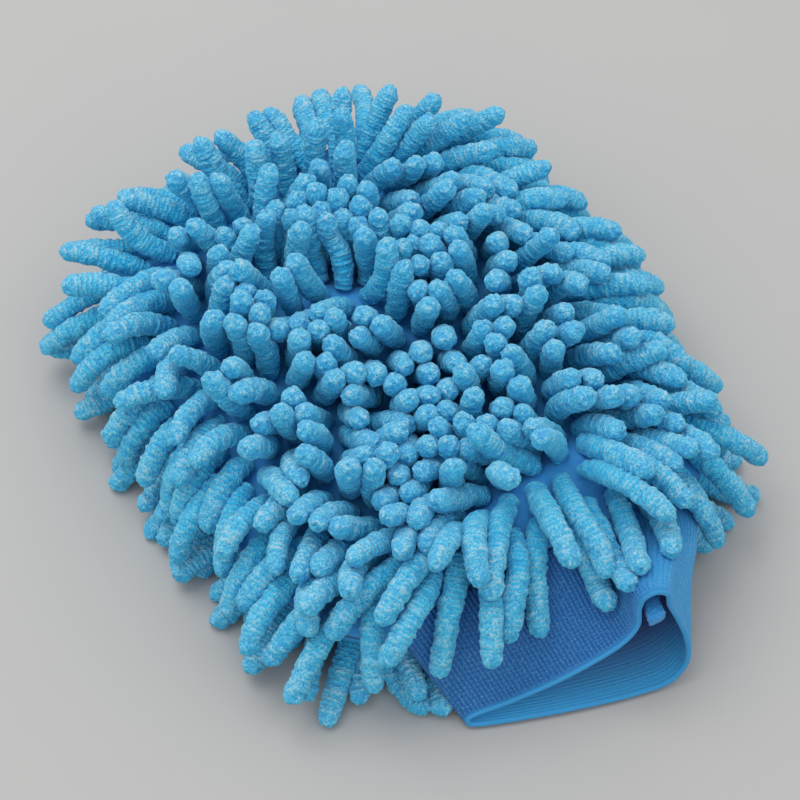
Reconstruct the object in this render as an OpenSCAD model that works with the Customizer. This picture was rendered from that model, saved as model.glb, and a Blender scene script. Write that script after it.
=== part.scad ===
// Wash mitt: two base-fabric panels covered in rows of chenille noodles, sewn together round the
// edge into a hand pocket, with a ribbed elastic cuff at the wrist.
// Millimetres. +Y points to the fingers, +Z up, and the mitt lies on z = 0.

/* [Pocket] */
// Half the width of the base fabric
pocket_half_w = 83; // [50:1:90]
// Middle of the pocket to the finger end of the fabric
finger_len = 98; // [70:1:120]
// Middle of the pocket to where the wrist end would close
wrist_len = 104; // [90:1:150]
// Middle of the pocket along Y
pocket_mid_y = 16.1; // [-20:0.1:30]
// Where the fabric ends and the cuff starts
wrist_y = -82.9; // [-110:0.1:-70]
// Height of the side seam above the floor
seam_z = 24; // [15:1:40]
// Rise of the front panel above the side seam
front_rise = 12; // [6:1:30]
// Drop of the back panel below the side seam
back_drop = 5.5; // [2:0.5:15]
// Fullness left at the wrist, as a share of the fullness in the middle
wrist_puff = 0.8; // [0.3:0.05:1]
// Thickness of the base fabric
fabric_t = 1.6; // [0.8:0.1:3]

/* [Noodles] */
// Radius of a noodle
noodle_r = 3.65; // [2:0.05:6]
// Length of a noodle from end to end
noodle_len = 29; // [15:0.5:45]
// How far a noodle's root is sunk in the fabric
root_sink = 1.2; // [0.5:0.1:2]
// Distance between noodles in one row
noodle_pitch = 9.6; // [7:0.1:14]
// Distance between rows
row_pitch = 9.1; // [7:0.1:14]
// Rows on each side
row_count = 21; // [10:1:25]
// Lean of the outermost front noodles from upright
front_edge_lean = 72; // [20:1:80]
// Lean of the middle back noodles from upright
back_mid_lean = 35; // [10:1:38]
// Lean of the outermost back noodles from upright
back_edge_lean = 52; // [20:1:60]

/* [Cuff] */
// Length of the elastic cuff along Y
cuff_len = 34; // [15:1:80]
// How much longer the cuff lies at its raised end than at its middle
cuff_skew = 11; // [-15:1:15]
// How much further the cuff's underside lies out than its middle height
cuff_tilt = 4; // [0:0.5:8]
// Thickness of the elastic webbing
cuff_t = 2; // [1:0.1:4]
// Half the width of the cuff
cuff_half_w = 39; // [35:1:60]
// Middle of the cuff's open rim along X
cuff_shift = -8; // [-15:1:15]
// Half the height of the cuff's open rim at its raised end
rim_high = 25; // [15:1:35]
// Half the height of the cuff's open rim at its folded end
rim_low = 3.2; // [2.5:0.1:10]
// Width of the sewn allowance where the cuff's ends meet
allowance_w = 5; // [3:0.5:8]

/* [Hidden] */
$fn = 32;
plan_power = 4;       // 2 is an ellipse, more is squarer
edge_limit = 0.93;    // outermost noodles, as a share of the way to the edge
panel_gap = 0.05;     // each panel stops this far short of the seam plane
across = 20;          // facets across a panel
along = 20;           // facets along a panel
round_cuff = 40;      // facets round the cuff
down_cuff = 6;        // facets down the cuff

function two(i) = i < 10 ? str("0", i) : str(i);
function front_name(i) = str("front_noodle_row_", two(i));
function back_name(i) = str("back_noodle_row_", two(i));

function mix(a, b, t) = a + (b - a) * t;
function clamp01(t) = max(0, min(1, t));
function smooth(t) = t * t * (3 - 2 * t);
function signed_pow(v, p) = sign(v) * pow(abs(v), p);

// ---------- pocket shape ----------

// Place along the pocket: 1 at the finger end, -1 where the wrist end would close
function along_share(y) = (y - pocket_mid_y) / (y > pocket_mid_y ? finger_len : wrist_len);

// Half the pocket's width at y
function half_width(y) =
    pocket_half_w * pow(max(0, 1 - pow(abs(along_share(y)), plan_power)), 1 / plan_power);

// 0 in the middle of the pocket, 1 on its edge
function edge_share(x, y) =
    pow(pow(abs(x / pocket_half_w), plan_power) + pow(abs(along_share(y)), plan_power),
        1 / plan_power);

// 1 in the middle of the pocket, falling steeply to 0 at its sides and finger end
function puff(x, y) =
    let (t = along_share(y), u = min(1, abs(x) / max(1, half_width(y))),
         ends = t > 0 ? pow(1 - pow(t, 3), 0.6)
                      : mix(1, wrist_puff, smooth(t / along_share(wrist_y))))
    ends * pow(1 - pow(u, 3), 0.6);

// Inner face of the front (side = 1) or back (side = -1) panel
function inner_z(x, y, side) =
    seam_z + side * (panel_gap + (side > 0 ? front_rise : back_drop) * puff(x, y));
function outer_z(x, y, side) = inner_z(x, y, side) + side * fabric_t;

// ---------- solids swept through rings of points ----------

function quad(a, b, c, d) = [[a, c, b], [a, d, c]];

// Each section is an even ring of points in which point j faces point m-1-j.
module swept(sections, closed = false) {
    n = len(sections);
    m = len(sections[0]);
    walls = [for (i = [0:n - (closed ? 1 : 2)]) for (j = [0:m - 1])
        let (k = (i + 1) % n, l = (j + 1) % m)
        each quad(i * m + j, i * m + l, k * m + l, k * m + j)];
    first = [for (j = [0:m / 2 - 2]) each quad(m - 1 - j, m - 2 - j, j + 1, j)];
    last = [for (j = [0:m / 2 - 2]) let (o = (n - 1) * m)
        each quad(o + j, o + j + 1, o + m - 2 - j, o + m - 1 - j)];
    polyhedron([for (s = sections) each s], closed ? walls : concat(walls, first, last));
}

function reversed(list) = [for (i = [len(list) - 1:-1:0]) list[i]];

// ---------- base fabric ----------

wrist_angle = asin(along_share(wrist_y));
tip_angle = asin(0.995);

function station_y(i) =
    let (t = sin(mix(wrist_angle, tip_angle, i / along)))
    pocket_mid_y + t * (t > 0 ? finger_len : wrist_len);

function panel_x(y, j) = half_width(y) * sin(mix(-90, 90, j / across));

function panel_section(y, side) =
    let (over = [for (j = [0:across]) let (x = panel_x(y, j)) [x, y, outer_z(x, y, side)]],
         under = [for (j = [0:across]) let (x = panel_x(y, j)) [x, y, inner_z(x, y, side)]])
    side > 0 ? concat(over, reversed(under)) : concat(under, reversed(over));

module panel(side) {
    swept([for (i = [0:along]) panel_section(station_y(i), side)]);
}

module front_base_fabric() {
    color("steelblue") panel(1);
}

module back_base_fabric() {
    color("steelblue") panel(-1);
}

// Sewn allowance inside the pocket, down one side, round the finger end and up the other side
seam_w = 5;
seam_t = 2.4;
seam_steps = 44;

function rim_point(a) =
    let (c = cos(a), s = sin(a))
    [pocket_half_w * signed_pow(c, 2 / plan_power),
     pocket_mid_y + signed_pow(s, 2 / plan_power) * (s > 0 ? finger_len : wrist_len)];

seam_start = -asin(pow(abs(along_share(wrist_y)), plan_power / 2)) + 2;

function seam_section(a) =
    let (p = rim_point(a), mid = [0, pocket_mid_y], in_dir = (mid - p) / norm(mid - p),
         q = p + in_dir * seam_w, o = p + in_dir * 0.3)
    [[o[0], o[1], seam_z - seam_t / 2], [o[0], o[1], seam_z + seam_t / 2],
     [q[0], q[1], seam_z + seam_t / 2], [q[0], q[1], seam_z - seam_t / 2]];

module perimeter_seam() {
    color("midnightblue")
        swept([for (i = [0:seam_steps])
            seam_section(mix(seam_start, 180 - seam_start, i / seam_steps))]);
}

// ---------- elastic cuff ----------

wrist_mid_z = (outer_z(0, wrist_y, 1) + outer_z(0, wrist_y, -1)) / 2;
wrist_half_z = (outer_z(0, wrist_y, 1) - outer_z(0, wrist_y, -1)) / 2;

// Point on the cuff: a = 0 is the raised end (+X), s = 0 the sewn edge, s = 1 the open rim
function cuff_point(a, s, inset) =
    let (b = smooth(s), right = (1 + cos(a)) / 2,
         half_w = mix(half_width(wrist_y), cuff_half_w, b) - inset,
         mid_z = mix(wrist_mid_z, mix(rim_low, rim_high, right), b),
         half_z = mix(wrist_half_z, mix(rim_low, rim_high, right), b) - inset)
    [cuff_shift * b + half_w * cos(a),
     wrist_y - 0.2 - s * (cuff_len + cuff_skew * cos(a) - cuff_tilt * sin(a)),
     mid_z + half_z * signed_pow(sin(a), 0.65)];

function cuff_section(a) =
    concat([for (i = [0:down_cuff]) cuff_point(a, i / down_cuff, 0)],
           [for (i = [down_cuff:-1:0]) cuff_point(a, i / down_cuff, cuff_t)]);

module elastic_cuff() {
    color("royalblue")
        swept([for (i = [0:round_cuff - 1]) cuff_section(-360 * i / round_cuff)], closed = true);
}

// The band's two ends lie together, pointing into the cuff, at its raised end
module allowance_bar(reach, thick, from, to) {
    steps = 4;
    swept([for (i = [0:steps])
        let (s = mix(from, to, i / steps), p = cuff_point(0, s, 0), x = p[0] - 0.8)
        [[x - reach, p[1], p[2] - thick / 2], [x - reach, p[1], p[2] + thick / 2],
         [x, p[1], p[2] + thick / 2], [x, p[1], p[2] - thick / 2]]]);
}

module cuff_end_allowance() {
    color("dodgerblue") allowance_bar(allowance_w + cuff_t - 0.8, 3.4, 0.06, 0.985);
}

// Overlock thread along the allowance's free edge
module cuff_end_stitching() {
    color("skyblue")
        for (i = [0:14])
            let (p = cuff_point(0, 0.10 + i * 0.058, 0))
            translate([p[0] - allowance_w - cuff_t - 0.1, p[1], p[2]])
                rotate([25, 0, 0])
                    cylinder(r = 0.35, h = 4, center = true, $fn = 16);
}

// Sewn allowance that joins the cuff to the fabric, turned to the inside
module cuff_attachment_seam() {
    inner = cuff_t - 0.3;
    depth = 1.5;
    color("midnightblue")
        swept([for (i = [0:round_cuff - 1])
            let (a = -360 * i / round_cuff,
                 o = cuff_point(a, 0, inner), n = cuff_point(a, 0, inner + depth))
            [[o[0], wrist_y + 2.5, o[2]], [o[0], wrist_y - 2, o[2]],
             [n[0], wrist_y - 2, n[2]], [n[0], wrist_y + 2.5, n[2]]]], closed = true);
}

// ---------- noodles ----------

function row_y(i) = wrist_y + 6 + (i - 1) * row_pitch;

// Places along one row: alternate rows are set over by half a pitch
function row_places(i) =
    let (y = row_y(i), shift = i % 2 == 0 ? 0.5 : 0, reach = ceil(pocket_half_w / noodle_pitch))
    [for (j = [-reach:reach]) let (x = (j + shift) * noodle_pitch)
        if (edge_share(x, y) < edge_limit && abs(x) < half_width(y) * 0.95) [x, y]];

// Level direction straight out to the nearest edge of the pocket
function outward(x, y) =
    let (g = [signed_pow(x / pocket_half_w, plan_power - 1) / pocket_half_w,
              signed_pow(along_share(y), plan_power - 1) / finger_len + 1e-9])
    g / norm(g);

function front_dir(x, y) =
    let (o = outward(x, y), lean = front_edge_lean * pow(edge_share(x, y), 1.6))
    [o[0] * sin(lean), o[1] * sin(lean), cos(lean)];

// Back noodles near the wrist don't lean towards the cuff
function back_dir(x, y) =
    let (o = outward(x, y), lean = mix(back_mid_lean, back_edge_lean, pow(edge_share(x, y), 2)),
         keep = o[1] < 0 ? clamp01((y - wrist_y - 8) / 40) : 1,
         d = [o[0] * sin(lean), o[1] * sin(lean) * keep, -cos(lean)])
    d / norm(d);

// Middle of the round root end, standing off the fabric so that only root_sink goes in
function root_centre(x, y, side) =
    let (d = 0.01, rise_x = (outer_z(x + d, y, side) - outer_z(x - d, y, side)) / (2 * d),
         rise_y = (outer_z(x, y + d, side) - outer_z(x, y - d, side)) / (2 * d),
         normal = side * [-rise_x, -rise_y, 1] / norm([rise_x, rise_y, 1]))
    [x, y, outer_z(x, y, side)] + normal * (noodle_r - root_sink);

module noodle(root, dir, length) {
    core = length - 2 * noodle_r;
    turn = atan2(dir[1], dir[0]);
    tilt = acos(dir[2]);
    translate(root) rotate([0, tilt, turn]) {
        cylinder(r = noodle_r, h = core);
        sphere(r = noodle_r);
        translate([0, 0, core]) sphere(r = noodle_r);
    }
}

module front_noodle_row(i) {
    color("deepskyblue")
        for (p = row_places(i))
            noodle(root_centre(p[0], p[1], 1), front_dir(p[0], p[1]), noodle_len);
}

// Back noodles are pressed flat where they meet the floor, and the ones that hardly reach it stop short
function floor_len(root, dir, z) = (root[2] - z) / -dir[2] + 2 * noodle_r;
function back_len(root, dir) =
    let (pressed = floor_len(root, dir, -1), free = floor_len(root, dir, noodle_r + 0.3),
         grazing = floor_len(root, dir, noodle_r - 1.2))
    noodle_len > pressed ? pressed : noodle_len > grazing ? noodle_len : min(noodle_len, free);

module back_noodle_row(i) {
    color("deepskyblue")
        difference() {
            for (p = row_places(i))
                let (root = root_centre(p[0], p[1], -1), dir = back_dir(p[0], p[1]))
                noodle(root, dir, back_len(root, dir));
            translate([-200, -200, -50]) cube([400, 400, 50]);
        }
}

front_base_fabric();
back_base_fabric();
perimeter_seam();
elastic_cuff();
cuff_end_allowance();
cuff_end_stitching();
cuff_attachment_seam();
for (i = [1:row_count]) front_noodle_row(i);
for (i = [1:row_count]) back_noodle_row(i);
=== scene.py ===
"""Looks of the wash mitt: chenille noodles, base fabric, ribbed cuff and seams, round the CAD frame."""

import math

import bpy
import numpy as np
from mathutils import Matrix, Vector


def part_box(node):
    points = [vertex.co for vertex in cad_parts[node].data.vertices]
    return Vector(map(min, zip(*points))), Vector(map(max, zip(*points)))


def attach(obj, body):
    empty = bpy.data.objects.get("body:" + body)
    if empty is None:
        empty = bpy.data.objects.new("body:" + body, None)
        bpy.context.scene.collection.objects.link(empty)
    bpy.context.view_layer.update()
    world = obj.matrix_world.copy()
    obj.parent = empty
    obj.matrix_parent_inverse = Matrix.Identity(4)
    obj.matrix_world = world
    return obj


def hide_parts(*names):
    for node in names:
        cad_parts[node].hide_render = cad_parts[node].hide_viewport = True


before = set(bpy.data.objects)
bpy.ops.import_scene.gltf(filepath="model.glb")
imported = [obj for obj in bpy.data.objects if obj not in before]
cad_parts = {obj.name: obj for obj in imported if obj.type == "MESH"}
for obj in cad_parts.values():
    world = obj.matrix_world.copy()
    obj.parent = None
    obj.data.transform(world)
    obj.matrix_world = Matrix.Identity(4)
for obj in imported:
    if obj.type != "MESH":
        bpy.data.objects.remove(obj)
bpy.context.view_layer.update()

# Lengths in this script are millimetres until a mesh is made.
MM = 0.001
SEED = 11
BODY = "mitt"

# Elastic webbing: distance between ribs outside, rubber threads across them, and ridges inside
RIB_PITCH = 1.45
THREAD_PITCH = 1.15
RIDGE_PITCH = 1.05
# Chenille: scale of the fibres' grain, distance between turns of pile, and how far grain shifts them
FIBRE_GRAIN = 1250
TURN_PITCH = 1.5
TURN_WANDER = 2.2

# ---------- camera, floor and light ----------

VIEW_AZIMUTH = -30
VIEW_ELEVATION = 52
VIEW_DISTANCE = 965
VIEW_LENS = 128
VIEW_TARGET = (-6.5, 0, 26)
# Soft light from all round, and one large disc above; the disc's place and size are in metres
WORLD_STRENGTH = 0.89
KEY_PLACE = (-0.3, 0.5, 1.5)
KEY_SIZE = 1.2
KEY_POWER = 8.4
TABLE_HALF = 4


def direction_to_camera():
    a = math.radians(VIEW_AZIMUTH)
    e = math.radians(VIEW_ELEVATION)
    return Vector((math.sin(a) * math.cos(e), -math.cos(a) * math.cos(e), math.sin(e)))


def add_camera():
    data = bpy.data.cameras.new("camera")
    data.lens = VIEW_LENS
    data.clip_start = 0.05
    data.clip_end = 20
    camera = bpy.data.objects.new("camera", data)
    bpy.context.collection.objects.link(camera)
    back = direction_to_camera()
    camera.location = Vector(VIEW_TARGET) * MM + back * VIEW_DISTANCE * MM
    camera.rotation_euler = (-back).to_track_quat("-Z", "Y").to_euler()
    bpy.context.scene.camera = camera


def add_key_light():
    data = bpy.data.lights.new("key", "AREA")
    data.shape = "DISK"
    data.size = KEY_SIZE
    data.energy = KEY_POWER
    lamp = bpy.data.objects.new("key", data)
    bpy.context.collection.objects.link(lamp)
    lamp.location = KEY_PLACE
    lamp.rotation_euler = (-Vector(KEY_PLACE)).to_track_quat("-Z", "Y").to_euler()


def add_world():
    world = bpy.data.worlds.new("studio")
    world.use_nodes = True
    background = world.node_tree.nodes["Background"]
    background.inputs["Color"].default_value = (1, 1, 1, 1)
    background.inputs["Strength"].default_value = WORLD_STRENGTH
    bpy.context.scene.world = world


def add_table(material):
    a = TABLE_HALF
    corners = [(-a, -a, 0), (a, -a, 0), (a, a, 0), (-a, a, 0)]
    mesh = bpy.data.meshes.new("table_top")
    mesh.from_pydata(corners, [], [(0, 1, 2, 3)])
    mesh.materials.append(material)
    table = bpy.data.objects.new("table_top", mesh)
    bpy.context.collection.objects.link(table)


# ---------- material helpers ----------


class Nodes:
    """A material's node tree, with one short call for each kind of node this script uses."""

    def __init__(self, name):
        self.material = bpy.data.materials.new(name)
        self.material.use_nodes = True
        self.tree = self.material.node_tree
        self.shader = self.tree.nodes["Principled BSDF"]

    def add(self, kind, **settings):
        node = self.tree.nodes.new(kind)
        for key, value in settings.items():
            setattr(node, key, value)
        return node

    def link(self, source, target):
        self.tree.links.new(source, target)

    def fill(self, sockets, values):
        """Gives each socket its number or colour, or links it."""
        for socket, value in zip(sockets, values):
            if isinstance(value, (int, float)):
                socket.default_value = value
            elif isinstance(value, tuple):
                socket.default_value = (*value, 1)
            else:
                self.link(value, socket)

    def colour(self, colour):
        self.link(colour, self.shader.inputs["Base Color"])

    def set(self, name, value):
        self.shader.inputs[name].default_value = value

    def sheen(self, weight, roughness, tint):
        self.set("Sheen Weight", weight)
        self.set("Sheen Roughness", roughness)
        self.set("Sheen Tint", (*tint, 1))

    def coordinate(self, kind):
        return self.add("ShaderNodeTexCoord").outputs[kind]

    def attribute(self, name):
        return self.add("ShaderNodeAttribute", attribute_name=name).outputs["Fac"]

    def normal_z(self):
        """1 where the surface faces straight up, -1 where it faces down."""
        split = self.add("ShaderNodeSeparateXYZ")
        self.link(self.coordinate("Normal"), split.inputs[0])
        return split.outputs["Z"]

    def noise(self, scale, detail, roughness=0.5):
        """Noise over the object's own coordinates, which are in metres."""
        node = self.add("ShaderNodeTexNoise")
        node.inputs["Scale"].default_value = scale
        node.inputs["Detail"].default_value = detail
        node.inputs["Roughness"].default_value = roughness
        self.link(self.coordinate("Object"), node.inputs["Vector"])
        return node.outputs["Fac"]

    def span(self, value, low, high, to_low=0.0, to_high=1.0):
        """value, from low..high to to_low..to_high, clamped."""
        node = self.add("ShaderNodeMapRange")
        for key, number in zip((1, 2, 3, 4), (low, high, to_low, to_high)):
            node.inputs[key].default_value = number
        self.link(value, node.inputs[0])
        return node.outputs[0]

    def math(self, operation, a, b):
        node = self.add("ShaderNodeMath", operation=operation)
        self.fill(node.inputs, (a, b))
        return node.outputs[0]

    def plus(self, a, b):
        return self.math("ADD", a, b)

    def times(self, a, b):
        return self.math("MULTIPLY", a, b)

    def wave(self, value, pitch_mm):
        """0 to 1 and back in each pitch of value, which is in millimetres."""
        turn = self.times(value, 2 * math.pi / pitch_mm)
        return self.span(self.math("COSINE", turn, 0.0), -1, 1)

    def blend(self, share, a, b):
        """Number a where share is 0 and b where it is 1."""
        node = self.add("ShaderNodeMix", data_type="FLOAT")
        self.fill((node.inputs[0], node.inputs[2], node.inputs[3]), (share, a, b))
        return node.outputs[0]

    def mix(self, share, a, b):
        """Colour a where share is 0 and b where it is 1."""
        node = self.add("ShaderNodeMix", data_type="RGBA")
        self.fill((node.inputs[0], node.inputs[6], node.inputs[7]), (share, a, b))
        return node.outputs[2]

    def bump(self, height, strength, distance_mm):
        node = self.add("ShaderNodeBump")
        node.inputs["Strength"].default_value = strength
        node.inputs["Distance"].default_value = distance_mm * MM
        self.link(height, node.inputs["Height"])
        self.link(node.outputs["Normal"], self.shader.inputs["Normal"])


def table_material():
    """Plain pale grey, with the faintest cloudiness."""
    nodes = Nodes("table")
    tone = nodes.span(nodes.noise(6, 3), 0.3, 0.7)
    nodes.colour(nodes.mix(tone, (0.446, 0.444, 0.438), (0.460, 0.457, 0.451)))
    nodes.set("Roughness", 0.6)
    return nodes.material


def chenille_material():
    """Loose loops of cut pile: pale fibre ends and a painted highlight at the loops' tips, painted shade
    between them and towards the root.
    """
    nodes = Nodes("chenille")
    reach = nodes.attribute("reach")
    deep = (0.036, 0.29, 0.66)
    mid = (0.012, 0.47, 0.77)
    lit = (0.046, 0.54, 0.76)
    pale_fibre_and_highlight = (0.68, 0.72, 0.77)
    # Turns of pile round the shaft, made uneven by the grain of the fibres; the rounded tip has none
    grain = nodes.noise(FIBRE_GRAIN, 1)
    turns = nodes.wave(nodes.plus(nodes.attribute("along"), nodes.times(grain, TURN_WANDER)), TURN_PITCH)
    shaft = nodes.span(reach, 0.84, 0.88, 1, 0)
    # How far the fibres here stand out: loops of pile, then grain, then turns
    loops = nodes.times(nodes.attribute("pile"), 0.45)
    height = nodes.plus(loops, nodes.span(grain, 0.28, 0.72, -0.12, 0.45))
    height = nodes.plus(height, nodes.times(shaft, nodes.span(turns, 0, 1, -0.01, 0.15)))
    body = nodes.mix(nodes.span(nodes.attribute("tone"), 0, 1, 0, 0.3), mid, lit)
    # Painted shade in the deep colour where the pile sinks between loops, and a painted highlight in the
    # lit colour where it stands out
    body = nodes.mix(nodes.span(height, 0.0, 0.42), deep, body)
    body = nodes.mix(nodes.span(height, 0.42, 0.72, 0, 0.7), body, lit)
    # Painted highlight: a pale haze on what faces up and towards the tip. Paler fibre ends too, part
    # real and part painted highlight, stronger where they face up
    facing_up = nodes.span(nodes.normal_z(), 0.0, 0.9)
    painted_top_light = nodes.times(facing_up, nodes.span(reach, 0.3, 0.9, 0.02, 0.18))
    body = nodes.mix(nodes.times(painted_top_light, nodes.span(height, 0.0, 0.7, 0.2, 1.0)), body, pale_fibre_and_highlight)
    pale_ends_and_highlight = nodes.span(height, 0.42, 0.92, 0, 0.78)
    pale_ends_and_highlight = nodes.times(pale_ends_and_highlight, nodes.span(reach, 0.2, 1.0, 0.35, 1.0))
    pale_ends_and_highlight = nodes.times(pale_ends_and_highlight, nodes.span(facing_up, 0.0, 1.0, 0.4, 1.0))
    body = nodes.mix(pale_ends_and_highlight, body, pale_fibre_and_highlight)
    # Painted shade: darker towards the root
    nodes.colour(nodes.mix(nodes.span(reach, 0.0, 0.4, 0.2, 0), body, deep))
    nodes.set("Roughness", 0.95)
    nodes.set("Specular IOR Level", 0.12)
    nodes.sheen(0.4, 0.5, (0.55, 0.85, 1.0))
    nodes.bump(nodes.plus(grain, nodes.times(shaft, nodes.span(turns, 0, 1, 0, 0.24))), 0.9, 0.9)
    return nodes.material


def webbing_material():
    """Elastic webbing: ribs down its outside crossed by rubber threads, fine ridges along its inside."""
    nodes = Nodes("webbing")
    down = nodes.attribute("down")
    outer = nodes.attribute("outer")
    edge = nodes.attribute("edge")
    groove = (0.014, 0.095, 0.33)
    ridge_top = (0.025, 0.21, 0.51)
    paler = (0.035, 0.40, 0.78)
    inner_blue = (0.05, 0.40, 0.78)
    fibre = (0.26, 0.62, 0.86)
    rim_blue = (0.024, 0.19, 0.46)
    painted_inside_shade = (0.032, 0.022, 0.13)
    rib = nodes.wave(nodes.attribute("round"), RIB_PITCH)
    thread = nodes.wave(down, THREAD_PITCH)
    ridge = nodes.wave(down, RIDGE_PITCH)
    ladder = nodes.times(rib, nodes.span(thread, 0, 1, 0.35, 1))
    height = nodes.blend(outer, nodes.span(ridge, 0, 1, 0.75, 0.97), ladder)
    height = nodes.blend(edge, height, 0.8)
    # Painted shade: darker in the grooves between ribs and rubber threads
    shade = nodes.mix(nodes.span(height, 0.05, 0.85), groove, ridge_top)
    # Paler towards the sewn ends, with paler fibres all over
    near_ends = nodes.times(outer, nodes.attribute("sewn"))
    shade = nodes.mix(nodes.times(near_ends, 0.55), shade, paler)
    fuzz = nodes.noise(1700, 3, 0.7)
    speckle = nodes.times(nodes.span(fuzz, 0.52, 0.74, 0, 0.6), nodes.span(near_ends, 0, 1, 0.7, 1))
    shade = nodes.mix(speckle, shade, fibre)
    shade = nodes.mix(nodes.span(edge, 0.2, 1.0, 0, 0.75), shade, rim_blue)
    # The inside is paler; painted shade darkens it within, more with depth from the rim, so it stays
    # brighter at the rim
    inside = nodes.math("SUBTRACT", 1.0, outer)
    shade = nodes.mix(nodes.times(inside, 0.55), shade, inner_blue)
    nodes.colour(nodes.mix(nodes.times(inside, nodes.span(down, 3, 20, 0, 0.95)), shade, painted_inside_shade))
    nodes.set("Roughness", 0.7)
    nodes.set("Specular IOR Level", 0.25)
    nodes.sheen(0.3, 0.4, (0.55, 0.80, 1.0))
    nodes.bump(nodes.plus(height, nodes.span(fuzz, 0.2, 0.8, 0, 0.5)), 0.7, 0.35)
    return nodes.material


def allowance_material():
    """Cut fabric edges, bright and fuzzy."""
    nodes = Nodes("cut_edges")
    fuzz = nodes.noise(1500, 3, 0.75)
    colour = nodes.mix(nodes.span(fuzz, 0.3, 0.6), (0.02, 0.24, 0.74), (0.045, 0.42, 0.90))
    nodes.colour(nodes.mix(nodes.span(fuzz, 0.58, 0.75, 0, 0.6), colour, (0.14, 0.52, 0.90)))
    nodes.set("Roughness", 0.9)
    nodes.sheen(0.4, 0.4, (0.5, 0.8, 1.0))
    nodes.bump(fuzz, 0.9, 0.7)
    return nodes.material


def thread_material():
    """Spun thread, with its twist."""
    nodes = Nodes("thread")
    twist = nodes.noise(2600, 2)
    nodes.colour(nodes.mix(nodes.span(twist, 0.35, 0.65), (0.02, 0.22, 0.58), (0.09, 0.46, 0.82)))
    nodes.set("Roughness", 0.6)
    nodes.set("Sheen Weight", 0.2)
    nodes.bump(twist, 0.5, 0.2)
    return nodes.material


def jersey_material():
    """Smooth knitted base cloth, cloudy in tone, with fine paler stitches."""
    nodes = Nodes("jersey")
    tone = nodes.span(nodes.noise(45, 3), 0.3, 0.7)
    colour = nodes.mix(tone, (0.026, 0.25, 0.62), (0.045, 0.37, 0.78))
    knit = nodes.noise(1500, 2)
    nodes.colour(nodes.mix(nodes.span(knit, 0.5, 0.8, 0, 0.35), colour, (0.16, 0.54, 0.88)))
    nodes.set("Roughness", 0.8)
    nodes.sheen(0.3, 0.4, (0.5, 0.75, 1.0))
    nodes.bump(knit, 0.4, 0.3)
    return nodes.material


# ---------- mesh helpers ----------


def make_piece(name, verts_mm, faces, material):
    """A smooth mesh object from vertices in millimetres and an array or a list of faces."""
    mesh = bpy.data.meshes.new(name)
    verts = np.asarray(verts_mm, np.float32) * MM
    if isinstance(faces, np.ndarray):
        corners = faces.shape[1]
        mesh.vertices.add(len(verts))
        mesh.vertices.foreach_set("co", verts.ravel())
        mesh.loops.add(faces.size)
        mesh.loops.foreach_set("vertex_index", faces.ravel().astype(np.int32))
        mesh.polygons.add(len(faces))
        mesh.polygons.foreach_set("loop_start", np.arange(0, faces.size, corners, dtype=np.int32))
        mesh.update(calc_edges=True)
    else:
        mesh.from_pydata(verts.tolist(), [], faces)
    mesh.polygons.foreach_set("use_smooth", np.full(len(mesh.polygons), True))
    mesh.materials.append(material)
    piece = bpy.data.objects.new(name, mesh)
    bpy.context.collection.objects.link(piece)
    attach(piece, BODY)
    return piece


def set_attribute(piece, name, values):
    layer = piece.data.attributes.new(name, "FLOAT", "POINT")
    layer.data.foreach_set("value", np.asarray(values, np.float32).ravel())


def tube_faces(count, rings, around):
    """Quads of count separate tubes, each rings x around points."""
    ring = np.arange(rings - 1)[:, None] * around
    turn = np.arange(around)[None, :]
    nxt = (turn + 1) % around
    quads = np.stack([ring + turn, ring + nxt, ring + around + nxt, ring + around + turn], -1)
    start = (np.arange(count) * rings * around)[:, None, None]
    return (quads.reshape(1, -1, 4) + start).reshape(-1, 4)


def unit(v):
    return v / np.maximum(np.linalg.norm(v, axis=-1, keepdims=True), 1e-9)


def circle(count):
    """Angles at equal steps round a circle."""
    return np.arange(count) / count * 2 * math.pi


def distances(points):
    """How far each point is from the first one, measured along the line through them."""
    return np.concatenate([[0], np.cumsum(np.linalg.norm(np.diff(points, axis=0), axis=1))])


def resample(at, stations, rows):
    """Rows of numbers that are known at stations, read off between them."""
    return np.stack([np.interp(at, stations, rows[:, i]) for i in range(rows.shape[1])], 1)


def catmull_rom(a, b, c, d, f):
    """The smooth curve from b to c at shares f of the way, with a before and d after."""
    square = 2 * a - 5 * b + 4 * c - d
    cube = 3 * b - a - 3 * c + d
    return 0.5 * (2 * b + (c - a) * f + square * f**2 + cube * f**3)


# ---------- base fabric shape, as in the CAD ----------

low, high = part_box("front_base_fabric")
HALF_W = (high.x - low.x) / 2 / MM
WRIST_Y = low.y / MM
MID_Y = 16.1
FINGER_LEN = 98.0
WRIST_LEN = 104.0
SEAM_Z = 24.0
FRONT_RISE = 12.0
BACK_DROP = 5.5
FABRIC_T = 1.6
# The plan is |x|^power + |y|^power = 1
PLAN_POWER = 4
# Share of their rise that the panels keep at the wrist
WRIST_PUFF = 0.8


def along_share(y):
    """-1 at the wrist end of the plan, 0 at its widest, 1 at the finger end."""
    y = np.asarray(y, float)
    return (y - MID_Y) / np.where(y > MID_Y, FINGER_LEN, WRIST_LEN)


def half_width(y):
    return HALF_W * np.maximum(0, 1 - np.abs(along_share(y)) ** PLAN_POWER) ** (1 / PLAN_POWER)


def puff(x, y):
    """Share of a panel's full rise at each place: 1 in the middle, 0 at the seam."""
    t = along_share(y)
    u = np.minimum(1, np.abs(x) / np.maximum(1, half_width(y)))
    w = np.clip(t / along_share(WRIST_Y), 0, 1)
    finger_end = np.maximum(0, 1 - np.abs(t) ** 3) ** 0.6
    wrist_end = 1 + (WRIST_PUFF - 1) * w * w * (3 - 2 * w)
    return np.where(t > 0, finger_end, wrist_end) * (1 - u**3) ** 0.6


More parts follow.
